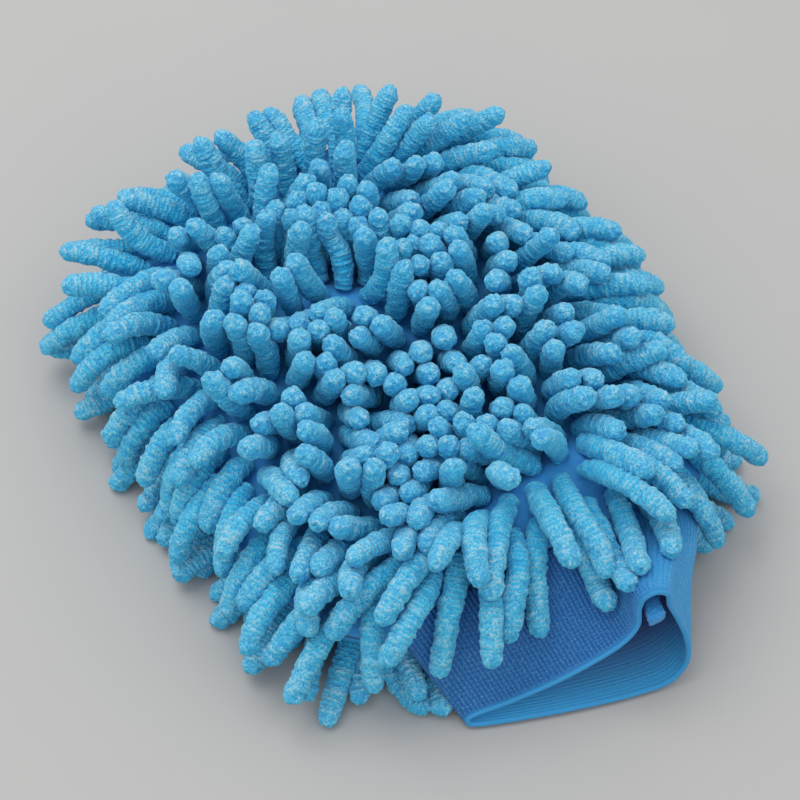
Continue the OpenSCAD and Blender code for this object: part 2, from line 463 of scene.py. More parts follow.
# Folds of the front fabric: points along the crest, its height and its half-width.
# The noodles part along a crest, and lean together along a hollow, which has a negative height.
CRESTS = [
    (((-4, -68), (10, -63), (26, -63)), 10, 12),
    (((-42, -71), (-26, -75)), 8, 11),
    (((-24, 52), (-12, 45), (-2, 36)), 5, 10),
    (((-30, 66), (-12, 60), (4, 52)), -5, 12),
    (((-48, 84), (-40, 88)), 4, 11),
]
# Places where the whole pile leans one way: middle, reach, and the lean along X and Y
COMBS = [
    (-12, -18, 46, -0.26, -0.50),
    (-54, 92, 20, -0.80, -0.30),
    (78, -58, 30, -0.45, -0.80),
    (-62, -62, 24, -0.50, -0.10),
    (-44, -80, 22, -0.80, -0.25),
    (0, -82, 26, -0.95, -0.20),
    (54, -66, 26, 0.10, -0.50),
    (36, 56, 26, -0.25, -0.45),
    (14, 108, 22, 0.10, 1.1),
    (-26, 104, 24, -0.50, -0.90),
    (34, 98, 26, 0.35, -0.60),
    (62, 80, 34, 0.20, -0.70),
    (76, 24, 40, 0, -0.55),
    (-84, -10, 50, 0, -0.30),
    (84, -34, 44, -0.20, -0.45),
]
# The same for the back: its corner pile at the folded side of the cuff points past the cuff
BACK_COMB = (-52, -66, 22, -0.25, -1.2)
# Hollows of the front's pile, where the tips crowd together: middle, reach, and pull
SINKS = [
    (-20, -22, 46, 0.45),
    (36, 56, 28, 0.45),
    (-34, 40, 26, 0.35),
]


def distance_to_line(x, y, points):
    """Distance from (x, y) to a line of points, and the direction away from it."""
    best = np.full(np.shape(x), 1e9)
    away = np.zeros((*np.shape(x), 2))
    for (ax, ay), (bx, by) in zip(points, points[1:]):
        length2 = (bx - ax) ** 2 + (by - ay) ** 2
        t = np.clip(((x - ax) * (bx - ax) + (y - ay) * (by - ay)) / length2, 0, 1)
        dx = x - ax - t * (bx - ax)
        dy = y - ay - t * (by - ay)
        d = np.hypot(dx, dy)
        near = d < best
        best = np.where(near, d, best)
        away[near] = np.stack([dx, dy], -1)[near] / np.maximum(d, 1e-6)[near][:, None]
    return best, away


def crest_height(x, y):
    total = np.zeros(np.shape(x))
    for points, height, half in CRESTS:
        d, _ = distance_to_line(x, y, points)
        total = total + height * np.exp(-((d / half) ** 2))
    return total


def crest_lean(x, y):
    """Level push on a noodle, away from the crests near it."""
    total = np.zeros((*np.shape(x), 2))
    for points, height, half in CRESTS:
        d, away = distance_to_line(x, y, points)
        total += away * (height / half * np.exp(-((d / (2.2 * half)) ** 2)))[..., None]
    return total


def comb_lean(x, y):
    """Level push on a noodle where the pile is combed over or crowds together."""
    total = np.zeros((*np.shape(x), 2))
    for mid_x, mid_y, reach, lean_x, lean_y in COMBS:
        share = np.exp(-((x - mid_x) ** 2 + (y - mid_y) ** 2) / reach**2)
        total += share[..., None] * np.array([lean_x, lean_y])
    for mid_x, mid_y, reach, pull in SINKS:
        away = np.stack([x - mid_x, y - mid_y], -1) / reach
        total -= pull * away * np.exp(-(away**2).sum(-1))[..., None]
    return total


def front_z(x, y):
    return SEAM_Z + FABRIC_T + FRONT_RISE * puff(x, y) + crest_height(x, y) * puff(x, y) ** 0.5


def back_z(x, y):
    return SEAM_Z - FABRIC_T - BACK_DROP * puff(x, y)


# ---------- cuff shape ----------

CUFF_T = 2.0
# Length from pocket to rim, and how much longer it is at the sewn end and shorter over the loop
CUFF_LEN = 34
CUFF_SKEW = 11
CUFF_TILT = 4
CUFF_HALF_W = 39
CUFF_SHIFT = -8
WRIST_MID_Z = SEAM_Z + (FRONT_RISE - BACK_DROP) * WRIST_PUFF / 2
WRIST_HALF_Z = FABRIC_T + (FRONT_RISE + BACK_DROP) * WRIST_PUFF / 2
# The open rim seen end on, as (x, z): the folded end, over the top to the raised loop at the sewn
# ends, down the side and back along the table
RIM = [
    (-45, 3.1), (-44.3, 5.4), (-40, 7.2), (-30, 9.4), (-14, 14.6), (0, 21.4), (7, 26.4),
    (10.6, 32), (11, 39), (12.6, 45), (17, 47.6), (21.4, 45), (22.6, 38.5),
    (25.2, 31), (27.6, 22), (28.2, 13), (26, 6),
    (20, 1.8), (9, 0.9), (-8, 0.9), (-26, 0.9), (-42.6, 0.95),
]
LOOP_MID_X = 16.8
# How far the rim's underside bulges out, and the side wall behind the rim
RIM_BULGE = 3
WALL_BULGE = 6
# Points round the webbing, of which the inside takes one in INNER_STEP, and rows of them
CUFF_ROUND = 720
OUTER_ROWS = 46
ROLL_ROWS = 6
INNER_ROWS = 170
INNER_STEP = 3
# How deep the ribs outside and the ridges inside are, and how far the rim rolls out
RIB_DEPTH = 0.24
RIDGE_DEPTH = 0.09
RIM_ROLL = 1.2
# Lowest that anything visible goes, just clear of the table's top
FLOOR_GAP = 0.1


def even_loop(points, count):
    """count points at equal distances round a closed smooth curve through points, from the first one."""
    points = np.asarray(points, float)
    n = len(points)
    t = np.linspace(0, n, 80 * n, endpoint=False)
    k = t.astype(int)
    f = (t - k)[:, None]
    a, b, c, d = (points[(k + o) % n] for o in (-1, 0, 1, 2))
    line = catmull_rom(a, b, c, d, f)
    closed = np.vstack([line, line[:1]])
    length = distances(closed)
    at = np.linspace(0, length[-1], count, endpoint=False)
    return resample(at, length, closed), length[-1]


def wrist_loop(count):
    """Flat oval of points where the cuff meets the pocket, as (x, z)."""
    angle = np.linspace(math.pi, -math.pi, 400, endpoint=False)
    tall = np.sign(np.sin(angle)) * np.abs(np.sin(angle)) ** 0.65
    half = half_width(WRIST_Y)
    points = np.stack([half * np.cos(angle), WRIST_MID_Z + WRIST_HALF_Z * tall], 1)
    return even_loop(points, count)[0]


def cuff_loops(s, count):
    """The cuff's outer face as loops of points, one for each share s of the way down to the rim."""
    rim, rim_length = even_loop(RIM, count)
    wrist = wrist_loop(count)
    ease = (s * s * (3 - 2 * s))[:, None, None]
    flat = wrist + (rim - wrist) * ease
    # Shares: across the cuff, up to the raised loop, along the underside, and on the side wall
    side = (rim[:, 0] - CUFF_SHIFT) / CUFF_HALF_W
    up = np.clip((rim[:, 1] - 14) / 25, -1, 1)
    under = np.clip(1 - rim[:, 1] / 6, 0, 1) * np.maximum(0, 1 - side**2)
    length = CUFF_LEN + CUFF_SKEW * side - CUFF_TILT * up + RIM_BULGE * under
    y = WRIST_Y - 0.2 - s[:, None] * length
    wall = np.clip((rim[:, 0] - 14) / 9, 0, 1) * np.clip(rim[:, 1] / 12, 0, 1)
    x = flat[..., 0] + WALL_BULGE * wall * np.sin(math.pi * s**1.5)[:, None]
    return np.stack([x, y, flat[..., 1]], -1), rim_length


def inward(loops):
    """Unit directions across the webbing, towards the inside of each loop."""
    ahead = np.roll(loops, -3, 1) - np.roll(loops, 3, 1)
    across = np.stack([ahead[..., 2], np.zeros(ahead.shape[:2]), -ahead[..., 0]], -1)
    for _ in range(4):
        across = across + 0.5 * (np.roll(across, 2, 1) + np.roll(across, -2, 1))
    return unit(across)


# Cells of floor under the cuff
CELL = 1.6
GRID_LOW = (-110, -140)
GRID_SIZE = (140, 60)


class CuffHeights:
    """Highest and lowest point of the cuff above each place on the floor."""

    def __init__(self):
        loops, _ = cuff_loops(np.linspace(0, 1, 60), CUFF_ROUND)
        points = loops.reshape(-1, 3)
        self.top = np.full(GRID_SIZE, -99.0)
        self.bottom = np.full(GRID_SIZE, 999.0)
        cell = self.cells(points[:, 0], points[:, 1])
        np.maximum.at(self.top, cell, points[:, 2])
        np.minimum.at(self.bottom, cell, points[:, 2])

    def cells(self, x, y):
        i = ((x - GRID_LOW[0]) / CELL).astype(int)
        j = ((y - GRID_LOW[1]) / CELL).astype(int)
        return np.clip(i, 0, GRID_SIZE[0] - 1), np.clip(j, 0, GRID_SIZE[1] - 1)

    def at(self, x, y):
        cell = self.cells(x, y)
        return self.top[cell], self.bottom[cell]


# ---------- noodles ----------

NOODLE_R = 3.9
NOODLE_LEN = 31.0
# Points along a noodle while it settles, and rows of noodles on each side of the mitt
POINTS = 8
ROWS = 21
# How deep a noodle is rooted, and the spread of its direction, more in the front's first rows
ROOT_DEPTH = 2.4
SCATTER = 0.10
SCATTER_BY_CUFF = 0.24
CUFF_SIDE_ROWS = 3
# Random spread of length, and the extra at the front's left side and beside the cuff
LENGTH_SPREAD = 0.05
SIDE_EXTRA = 0.10
WRIST_EXTRA = 0.34
BACK_WRIST_EXTRA = 0.12
# Drop of a noodle's tip in each step: in the front's middle, the extra over its edges, on the back
FRONT_DROOP = 0.03
EDGE_DROOP = 0.40
BACK_DROOP = 0.06
# Settling: steps, random bend, and how strongly a noodle keeps straight and keeps its direction
SETTLE_STEPS = 170
BEND_SPREAD = 0.05
STRAIGHTEN = 0.22
ROOT_HOLD = 0.35
# Contact: distance kept, as a share of two radii, share of an overlap undone in a step, longest
# move in a step, and how often and how widely neighbours are looked for
CONTACT_GAP = 0.93
CONTACT_PUSH = 0.42
LONGEST_MOVE = 1.2
SEARCH_EVERY = 4
SEARCH_REACH = 1.35
# Clearance of a noodle's line over cloth and over the table, as a share of its radius
CLOTH_CLEARANCE = 0.85
TABLE_CLEARANCE = 0.9


def islands(node):
    """The separate solids of a CAD node: a list of arrays of vertices, in millimetres."""
    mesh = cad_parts[node].data
    co = np.empty(len(mesh.vertices) * 3, np.float32)
    mesh.vertices.foreach_get("co", co)
    keys, weld = np.unique(np.round(co.reshape(-1, 3) / MM, 2), axis=0, return_inverse=True)
    edges = np.empty(len(mesh.edges) * 2, np.int32)
    mesh.edges.foreach_get("vertices", edges)
    edges = weld.ravel()[edges.reshape(-1, 2)]
    label = np.arange(len(keys))
    while True:
        lower = np.minimum(label[edges[:, 0]], label[edges[:, 1]])
        new = label.copy()
        np.minimum.at(new, edges[:, 0], lower)
        np.minimum.at(new, edges[:, 1], lower)
        new = new[new]
        if (new == label).all():
            return [keys[label == k] for k in np.unique(label)]
        label = new


def capsule(points, side):
    """Root centre and direction of one straight round-ended solid."""
    centre = (points.min(0) + points.max(0)) / 2
    spread = points - points.mean(0)
    axis = np.linalg.svd(spread.T @ spread)[0][:, 0]
    axis = axis * np.sign(axis[2]) * side
    along = (points - centre) @ axis
    across = (points - centre) - np.outer(along, axis)
    radius = np.linalg.norm(across, axis=1).max()
    return centre + axis * (along.min() + radius), axis


def read_rows():
    """Every noodle's row, side, root and direction, in CAD order."""
    rows, sides, roots, dirs = [], [], [], []
    for side, name in ((1, "front"), (-1, "back")):
        for i in range(1, ROWS + 1):
            for points in islands(f"{name}_noodle_row_{i:02d}"):
                root, axis = capsule(points, side)
                rows.append(i)
                sides.append(side)
                roots.append(root)
                dirs.append(axis)
    return np.array(rows), np.array(sides), np.array(roots), np.array(dirs)


def close_pairs(points, owner, reach):
    """Index pairs of points of different noodles that are within reach, found on a grid of cells."""
    cell = np.floor(points / reach).astype(np.int64)
    cell -= cell.min(0)
    size = cell.max(0) + 3
    key = (cell[:, 0] * size[1] + cell[:, 1]) * size[2] + cell[:, 2]
    order = np.argsort(key, kind="stable")
    sorted_key = key[order]
    first, second = [], []
    for a, b, c in np.ndindex(3, 3, 3):
        shift = ((a - 1) * size[1] + b - 1) * size[2] + c - 1
        lo = np.searchsorted(sorted_key, key + shift, "left")
        hi = np.searchsorted(sorted_key, key + shift, "right")
        count = hi - lo
        i = np.repeat(np.arange(len(points)), count)
        offset = np.arange(count.sum()) - np.repeat(np.cumsum(count) - count, count)
        j = order[np.repeat(lo, count) + offset]
        keep = (i < j) & (owner[i] != owner[j])
        first.append(i[keep])
        second.append(j[keep])
    i, j = np.concatenate(first), np.concatenate(second)
    near = np.linalg.norm(points[i] - points[j], axis=1) < reach
    return i[near], j[near]


def relax(roots, dirs, sides, lengths, weight):
    """Lets bending, weight and contact settle the noodles; returns the points along each one."""
    rng = np.random.default_rng(SEED)
    cuff = CuffHeights()
    count = len(roots)
    k = np.arange(POINTS)
    seg = lengths / (POINTS - 1)
    points = roots[:, None] + dirs[:, None] * (seg[:, None] * k)[..., None]
    curl = rng.normal(0, BEND_SPREAD, (count, 1, 3))
    owner = np.repeat(np.arange(count), POINTS)
    fixed = np.tile(k == 0, count)
    gap = 2 * NOODLE_R * CONTACT_GAP
    free_front = (sides > 0)[:, None] & (k > 0)
    free_back = (sides <= 0)[:, None] & (k > 0)
    table = np.where(k > 0, NOODLE_R * TABLE_CLEARANCE, -99)
    droop = weight[:, None] * (k / (POINTS - 1))[None]
    for step in range(SETTLE_STEPS):
        points[:, :, 2] -= droop
        for n in range(2, POINTS):
            ahead = 2 * points[:, n - 1] - points[:, n - 2] + curl[:, 0] * seg[:, None]
            points[:, n] += STRAIGHTEN * (ahead - points[:, n])
        points[:, 1] += ROOT_HOLD * (roots + dirs * seg[:, None] - points[:, 1])
        flat = points.reshape(-1, 3)
        if step % SEARCH_EVERY == 0:
            i, j = close_pairs(flat, owner, gap * SEARCH_REACH)
        apart = flat[i] - flat[j]
        d = np.linalg.norm(apart, axis=1)
        short = np.maximum(0, gap - d)
        push = apart / np.maximum(d, 1e-6)[:, None] * (CONTACT_PUSH * short)[:, None]
        for axis in range(3):
            move = np.bincount(i, push[:, axis], len(flat)) - np.bincount(j, push[:, axis], len(flat))
            flat[:, axis] += np.where(fixed, 0, np.clip(move, -LONGEST_MOVE, LONGEST_MOVE))
        points = flat.reshape(count, POINTS, 3)
        x, y, z = points[..., 0], points[..., 1], points[..., 2]
        on_pocket = (np.abs(x) < half_width(y)) & (y > WRIST_Y)
        cuff_top, cuff_bottom = cuff.at(x, y)
        top = np.where(on_pocket, front_z(x, y), cuff_top) + NOODLE_R * CLOTH_CLEARANCE
        bottom = np.where(on_pocket, back_z(x, y), cuff_bottom) - NOODLE_R * CLOTH_CLEARANCE
        on_mitt = on_pocket | (cuff_top > 0)
        z = np.where(free_front & on_mitt, np.maximum(z, top), z)
        z = np.where(free_back & on_mitt, np.minimum(z, bottom), z)
        points[..., 2] = np.maximum(z, table)
        for n in range(1, POINTS):
            step_dir = unit(points[:, n] - points[:, n - 1])
            points[:, n] = points[:, n - 1] + step_dir * seg[:, None]
    return points


def smooth_line(points, samples):
    """Catmull-Rom curve through each row of points."""
    before = 2 * points[:, :1] - points[:, 1:2]
    after = 2 * points[:, -1:] - points[:, -2:-1]
    ends = np.concatenate([before, points, after], 1)
    t = np.linspace(0, points.shape[1] - 1, samples)
    n = np.minimum(t.astype(int), points.shape[1] - 2)
    f = (t - n)[None, :, None]
    a, b, c, d = (ends[:, n + o] for o in range(4))
    return catmull_rom(a, b, c, d, f)


# Rings along a noodle's shaft and its rounded tip, and points round each ring
SHAFT_RINGS = 56
TIP_RINGS = 10
AROUND = 28
# Lean of the outermost front noodles from upright, before their weight bends them
EDGE_LEAN = 125
# Spread of thickness, the tip's share of the shaft's radius, and its length against a half ball's
SIZE_SPREAD = 0.035
TIP_R = 0.94
TIP_STRETCH = 1.25
# Sizes of the loops of pile across and along a shaft, the curls on its tip and the broad lumps
LOOP_SIZE = (2.4, 2.4, 1.15)
CURL_SIZE = 1.3
LUMP_SIZE = 3.6
# How far loops and lumps stand out, the curls' and fibres' share of that, and the noise's period
LOOP_RELIEF = 0.52
LUMP_RELIEF = 0.26
CURL_SHARE = 1.1
FIBRE_SHARE = 0.15
LATTICE = 32


def lattice_noise(p, table):
    """Smooth noise from -1 to 1 at points p, from random values on a lattice that repeats."""
    n = len(table)
    i = np.floor(p).astype(int)
    f = p - i
    f = f * f * (3 - 2 * f)
    lo, hi = i % n, (i + 1) % n
    total = 0
    for corner in range(8):
        pick = [(corner >> axis) & 1 for axis in range(3)]
        cell = [np.where(pick[axis], hi[..., axis], lo[..., axis]) for axis in range(3)]
        share = 1
        for axis in range(3):
            share = share * (f[..., axis] if pick[axis] else 1 - f[..., axis])
        total = total + share * table[cell[0], cell[1], cell[2]]
    return total


def turning_frames(line, rng):
    """Unit directions along each line, and two across it that turn as little as they can."""
    tangent = unit(np.gradient(line, axis=1))
    side = unit(np.cross(tangent[:, 0], rng.normal(0, 1, (len(line), 3))))
    sides = np.empty_like(tangent)
    for n in range(line.shape[1]):
        side = unit(side - (side * tangent[:, n]).sum(-1, keepdims=True) * tangent[:, n])
        sides[:, n] = side
    return tangent, sides, np.cross(tangent, sides)


def pile_height(local, domed, rng):
    """How far loops of pile stand out, from about -1 to 1, and the broad lumps under them."""
    table = rng.uniform(-1, 1, (LATTICE, LATTICE, LATTICE))
    start = rng.uniform(0, LATTICE, (len(local), 1, 1, 3))
    loops = lattice_noise(local / np.array(LOOP_SIZE) + start, table)
    curls = lattice_noise(local / CURL_SIZE + start, table)
    lumps = lattice_noise(local / LUMP_SIZE + start, table)
    fine = loops + (CURL_SHARE * curls - loops) * domed + rng.normal(0, FIBRE_SHARE, loops.shape)
    return fine, lumps


def noodle_surface(points, rng):
    """Vertices, reach, pile height and distance along, of noodles swept along their points."""
    count = len(points)
    line = smooth_line(points, SHAFT_RINGS)
    tangent, sides, ups = turning_frames(line, rng)
    size = rng.normal(1.0, SIZE_SPREAD, (count, 1)) * NOODLE_R
    # The shaft closes at its root, swells in its first third and narrows a little at its tip
    s = np.linspace(0, 1, SHAFT_RINGS)[None]
    root = np.sqrt(np.clip(s / 0.05, 0.003, 1))
    radius = size * (0.80 + 0.20 * np.minimum(1, s * 3)) * root * (1 - 0.06 * s**4)
    dome = np.linspace(0, math.pi / 2, TIP_RINGS + 1)[1:]
    ahead = TIP_STRETCH * size[:, :, None] * np.sin(dome)[None, :, None]
    last = line[:, -1:] + tangent[:, -1:] * ahead
    centre = np.concatenate([line, last], 1)
    radius = np.concatenate([radius, size * TIP_R * np.maximum(0.02, np.cos(dome))[None]], 1)
    frame_x = np.concatenate([sides, np.repeat(sides[:, -1:], TIP_RINGS, 1)], 1)
    frame_y = np.concatenate([ups, np.repeat(ups[:, -1:], TIP_RINGS, 1)], 1)
    angle = circle(AROUND)
    steps = np.linalg.norm(np.diff(centre, axis=1), axis=-1).mean(0)
    length = np.concatenate([[0], np.cumsum(steps)])
    # The noodles rolled out straight, to lay the pile on them
    rings = SHAFT_RINGS + TIP_RINGS
    local = np.empty((count, rings, AROUND, 3))
    local[..., 0] = radius[..., None] * np.cos(angle)
    local[..., 1] = radius[..., None] * np.sin(angle)
    local[..., 2] = length[None, :, None]
    domed = np.clip((length - length[SHAFT_RINGS - 1]) / 1.5, 0, 1)[None, :, None]
    fine, lumps = pile_height(local, domed, rng)
    relief = LOOP_RELIEF * fine + LUMP_RELIEF * lumps
    # Relief stands out sideways from the shaft, and turns to point ahead over the dome
    rise = np.concatenate([np.zeros(SHAFT_RINGS), dome])[None, :, None]
    fade = np.minimum(1, radius / NOODLE_R * 4)[..., None]
    r = radius[..., None] + relief * np.cos(rise) * fade
    verts = centre[:, :, None] + frame_x[:, :, None] * (r * np.cos(angle))[..., None]
    verts = verts + frame_y[:, :, None] * (r * np.sin(angle))[..., None]
    verts = verts + tangent[:, -1:, None] * (relief * np.sin(rise))[..., None]
    verts[..., 2] = np.maximum(verts[..., 2], FLOOR_GAP)
    reach = np.broadcast_to(np.linspace(0, 1, rings)[None, :, None], relief.shape)
    pile = np.clip(0.5 + 0.5 * fine, 0, 1)
    along = np.broadcast_to(np.minimum(length, length[SHAFT_RINGS + 1])[None, :, None], relief.shape)
    return verts, reach, pile, along


def edge_share(x, y):
    """0 in the middle of the pocket, 1 on its edge."""
    across = np.abs(x / HALF_W) ** PLAN_POWER
    return (across + np.abs(along_share(y)) ** PLAN_POWER) ** (1 / PLAN_POWER)


def front_directions(x, y, edge):
    """Upright in the middle, over the edge and down at the sides, parted at crests and combed."""
    out_x = np.sign(x) * np.abs(x / HALF_W) ** (PLAN_POWER - 1) / HALF_W
    t = along_share(y)
    out_y = np.sign(t) * np.abs(t) ** (PLAN_POWER - 1) / FINGER_LEN
    outward = unit(np.stack([out_x, out_y], -1) + 1e-9)
    lean = np.radians(EDGE_LEAN * edge**3.6)
    level = outward * np.sin(lean)[:, None] + crest_lean(x, y) + comb_lean(x, y)
    return unit(np.concatenate([level, np.cos(lean)[:, None]], 1))


def back_directions(x, y, dirs):
    """As the CAD's noodles lean, but for the combed corner."""
    mid_x, mid_y, reach, lean_x, lean_y = BACK_COMB
    share = np.exp(-((x - mid_x) ** 2 + (y - mid_y) ** 2) / reach**2)
    return unit(dirs + share[:, None] * np.array([lean_x, lean_y, 0]))


def settled_noodles(rng):
    """Row, side and points along every noodle, at rest."""
    rows, sides, roots, dirs = read_rows()
    x, y = roots[:, 0], roots[:, 1]
    front = sides > 0
    front_dirs = front_directions(x, y, edge_share(x, y))
    dirs = np.where(front[:, None], front_dirs, back_directions(x, y, dirs))
    scatter = np.where(front & (rows <= CUFF_SIDE_ROWS), SCATTER_BY_CUFF, SCATTER)
    dirs = unit(dirs + scatter[:, None] * rng.normal(0, 1, dirs.shape))
    # The crests and hollows move the roots off the CAD's even panel
    even_z = SEAM_Z + FABRIC_T + FRONT_RISE * puff(x, y)
    lift = np.where(front, front_z(x, y) - even_z, 0)
    roots = roots - dirs * ROOT_DEPTH
    roots[:, 2] += lift
    lengths = np.full(len(rows), NOODLE_LEN - NOODLE_R) * rng.normal(1, LENGTH_SPREAD, len(rows))
    # From 0 to 1 towards the sides, and towards the wrist
    side_edge = np.clip((np.abs(x) / HALF_W - 0.55) / 0.35, 0, 1)
    wrist_edge = np.clip((-55 - y) / 15, 0, 1)
    front_extra = SIDE_EXTRA * side_edge * (x < 0) + WRIST_EXTRA * wrist_edge
    back_extra = BACK_WRIST_EXTRA * (wrist_edge * (x < -20))
    lengths *= 1 + np.where(front, front_extra, back_extra)
    weight = np.where(front, FRONT_DROOP + EDGE_DROOP * np.maximum(side_edge, wrist_edge), BACK_DROOP)
    return rows, sides, relax(roots, dirs, sides, lengths, weight)


def add_noodles(material):
    rng = np.random.default_rng(SEED + 1)
    rows, sides, points = settled_noodles(rng)
    for side, name in ((1, "front"), (-1, "back")):
        for row in range(1, ROWS + 1):
            chosen = (sides == side) & (rows == row)
            verts, reach, pile, along = noodle_surface(points[chosen], rng)
            count, rings, around, _ = verts.shape
            faces = tube_faces(count, rings, around)
            verts = verts.reshape(-1, 3)
            piece = make_piece(f"{name}_pile_{row:02d}", verts, faces, material)
            tone = rng.uniform(0, 1, (count, 1, 1)) * np.ones((count, rings, around))
            set_attribute(piece, "reach", reach)
            set_attribute(piece, "pile", pile)
            set_attribute(piece, "along", along)
            set_attribute(piece, "tone", tone)
            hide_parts(f"{name}_noodle_row_{row:02d}")


# ---------- base fabric ----------

# Points across and along a panel, and how thick its cloth is drawn
PANEL_GRID = (96, 120)
PANEL_T = 1.5


def add_panel(name, node, height, material, thickness):
    """A base cloth whose outer face is height(x, y), closed round its edge."""
    across, along = PANEL_GRID
    first = math.asin(along_share(WRIST_Y))
    t = np.sin(np.linspace(first, math.asin(0.995), along))
    y = MID_Y + t * np.where(t > 0, FINGER_LEN, WRIST_LEN)
    u = np.sin(np.linspace(-math.pi / 2, math.pi / 2, across))
    x = half_width(y)[:, None] * u[None]
    y = np.broadcast_to(y[:, None], x.shape)
    outer = np.stack([x, y, height(x, y)], -1)
    inner = outer - np.array([0, 0, thickness])
    verts = np.concatenate([outer.reshape(-1, 3), inner.reshape(-1, 3)])
    n = across * along
    faces = []
    for i in range(along - 1):
        for j in range(across - 1):
            a = i * across + j
            b = a + across
            faces.append((a, a + 1, b + 1, b))
            faces.append((n + a, n + b, n + b + 1, n + a + 1))
    rim = list(range(across))
    rim += [i * across + across - 1 for i in range(1, along)]
    rim += [(along - 1) * across + j for j in range(across - 2, -1, -1)]
    rim += [i * across for i in range(along - 2, 0, -1)]
    for a, b in zip(rim, rim[1:] + rim[:1]):
        faces.append((b, a, n + a, n + b))
    piece = make_piece(name, verts, faces, material)
    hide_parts(node)


# ---------- elastic cuff and seams ----------

# Cut cloth edges have squarish corners: lower is squarer
CORNER_POWER = 0.5
SEAM_AROUND = 16
# Overlock threads: radius and turns on the cuff's sewn ends, and inside the pocket
ENDS_HALF_W = 2.8
ENDS_THREAD_R = 0.32
ENDS_TURNS = 26
SEAM_THREAD_R = 0.22
OVERLOCK_PITCH = 3.0
RING_TURNS = 80


def cuff_grid():
    """Rows of points over the webbing: down the outside, round the rim, up the inside."""
    s_out = np.linspace(0, 1, OUTER_ROWS)
    loops, length = cuff_loops(s_out, CUFF_ROUND)
    across = inward(loops)
    round_mm = np.arange(CUFF_ROUND) / CUFF_ROUND * length
    rib = 0.5 + 0.5 * np.cos(round_mm * 2 * math.pi / (length / round(length / RIB_PITCH)))
    fade = np.clip((1 - s_out) / 0.03, 0, 1)[:, None]
    outer = loops - across * (RIB_DEPTH * rib[None] * fade)[..., None]
    half = across[-1] * (CUFF_T / 2)
    turn = np.linspace(0, math.pi, ROLL_ROWS + 2)[1:-1, None, None]
    roll = loops[-1] + half - half * np.cos(turn) - np.array([0, RIM_ROLL, 0]) * np.sin(turn)
    s_in = np.linspace(1, 0, INNER_ROWS)
    deep, _ = cuff_loops(s_in, CUFF_ROUND)
    ridge = 0.5 + 0.5 * np.cos((1 - s_in) * CUFF_LEN * 2 * math.pi / RIDGE_PITCH)
    inner = deep + inward(deep) * (CUFF_T - RIDGE_DEPTH + RIDGE_DEPTH * ridge[:, None])[..., None]
    return np.concatenate([outer, roll]), inner[:, ::INNER_STEP], round_mm


def grid_quads(rows, columns, start=0):
    """Quads of a grid that closes on itself along its columns."""
    i = np.arange(rows - 1)[:, None] * columns
    j = np.arange(columns)[None]
    k = (j + 1) % columns
    return (np.stack([i + j, i + columns + j, i + columns + k, i + k], -1) + start).reshape(-1, 4)


def add_cuff(material):
    outer, inner, round_mm = cuff_grid()
    rows, columns = outer.shape[:2]
    inner_rows, few = inner.shape[:2]
    start = rows * columns
    faces = grid_quads(rows, columns).tolist() + grid_quads(inner_rows, few, start).tolist()
    # Strips that join the outside to the inside, at the rim and at the pocket
    rim = (rows - 1) * columns
    last = start + (inner_rows - 1) * few
    for j in range(few):
        k = (j + 1) % few
        fine = [(j * INNER_STEP + n) % columns for n in range(INNER_STEP + 1)]
        faces.append([rim + n for n in fine[::-1]] + [start + j, start + k])
        faces.append(fine + [last + k, last + j])
    verts = np.concatenate([outer.reshape(-1, 3), inner.reshape(-1, 3)])
    verts[:, 2] = np.maximum(verts[:, 2], FLOOR_GAP)
    piece = make_piece("cuff_band", verts, faces, material)
    rim_y = outer[OUTER_ROWS - 1, :, 1]
    from_rim = (outer[..., 1] - rim_y).ravel(), (inner[..., 1] - rim_y[::INNER_STEP]).ravel()
    around = np.tile(round_mm, rows), np.tile(round_mm[::INNER_STEP], inner_rows)
    row = np.repeat(np.arange(rows), columns)
    near_rim = np.clip((row - OUTER_ROWS + 3) / 2, 0, 1)
    set_attribute(piece, "down", np.concatenate(from_rim))
    set_attribute(piece, "round", np.concatenate(around))
    set_attribute(piece, "outer", np.concatenate([row < OUTER_ROWS, np.zeros(inner_rows * few)]))
    inner_edge = np.repeat(np.arange(inner_rows) < 2, few)
    set_attribute(piece, "edge", np.concatenate([near_rim, inner_edge]))
    across_x = np.concatenate([outer[..., 0].ravel(), inner[..., 0].ravel()])
    set_attribute(piece, "sewn", np.clip((across_x - 8) / 12, 0, 1))
    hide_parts("elastic_cuff")


def loop_top(s):
    """Inside of the raised loop, where the cuff's sewn ends hang, for each share s down the cuff."""
    loops, _ = cuff_loops(s, CUFF_ROUND)
    rim = loops[-1]
    # The highest point near the loop's middle
    near = np.argmin(np.abs(rim[:, 0] - LOOP_MID_X) - 0.05 * rim[:, 2])
    return loops[:, near] - np.array([0, 0, CUFF_T])


def tube(path, radius, around):
    """Vertices and faces of a thread along a path of points, closed at both ends."""
    tangent = unit(np.gradient(path, axis=0))
    side = unit(np.cross(tangent[0], (0.3, 0.2, 0.9)))
    angle = circle(around)
    verts = []
    for centre, ahead in zip(path, tangent):
        side = unit(side - (side @ ahead) * ahead)
        up = np.cross(ahead, side)
        verts.append(centre + radius * (np.cos(angle)[:, None] * side + np.sin(angle)[:, None] * up))
    faces = tube_faces(1, len(path), around).tolist()
    last = (len(path) - 1) * around
    faces.append(list(range(around))[::-1])
    faces.append([last + n for n in range(around)])
    return np.concatenate(verts), faces


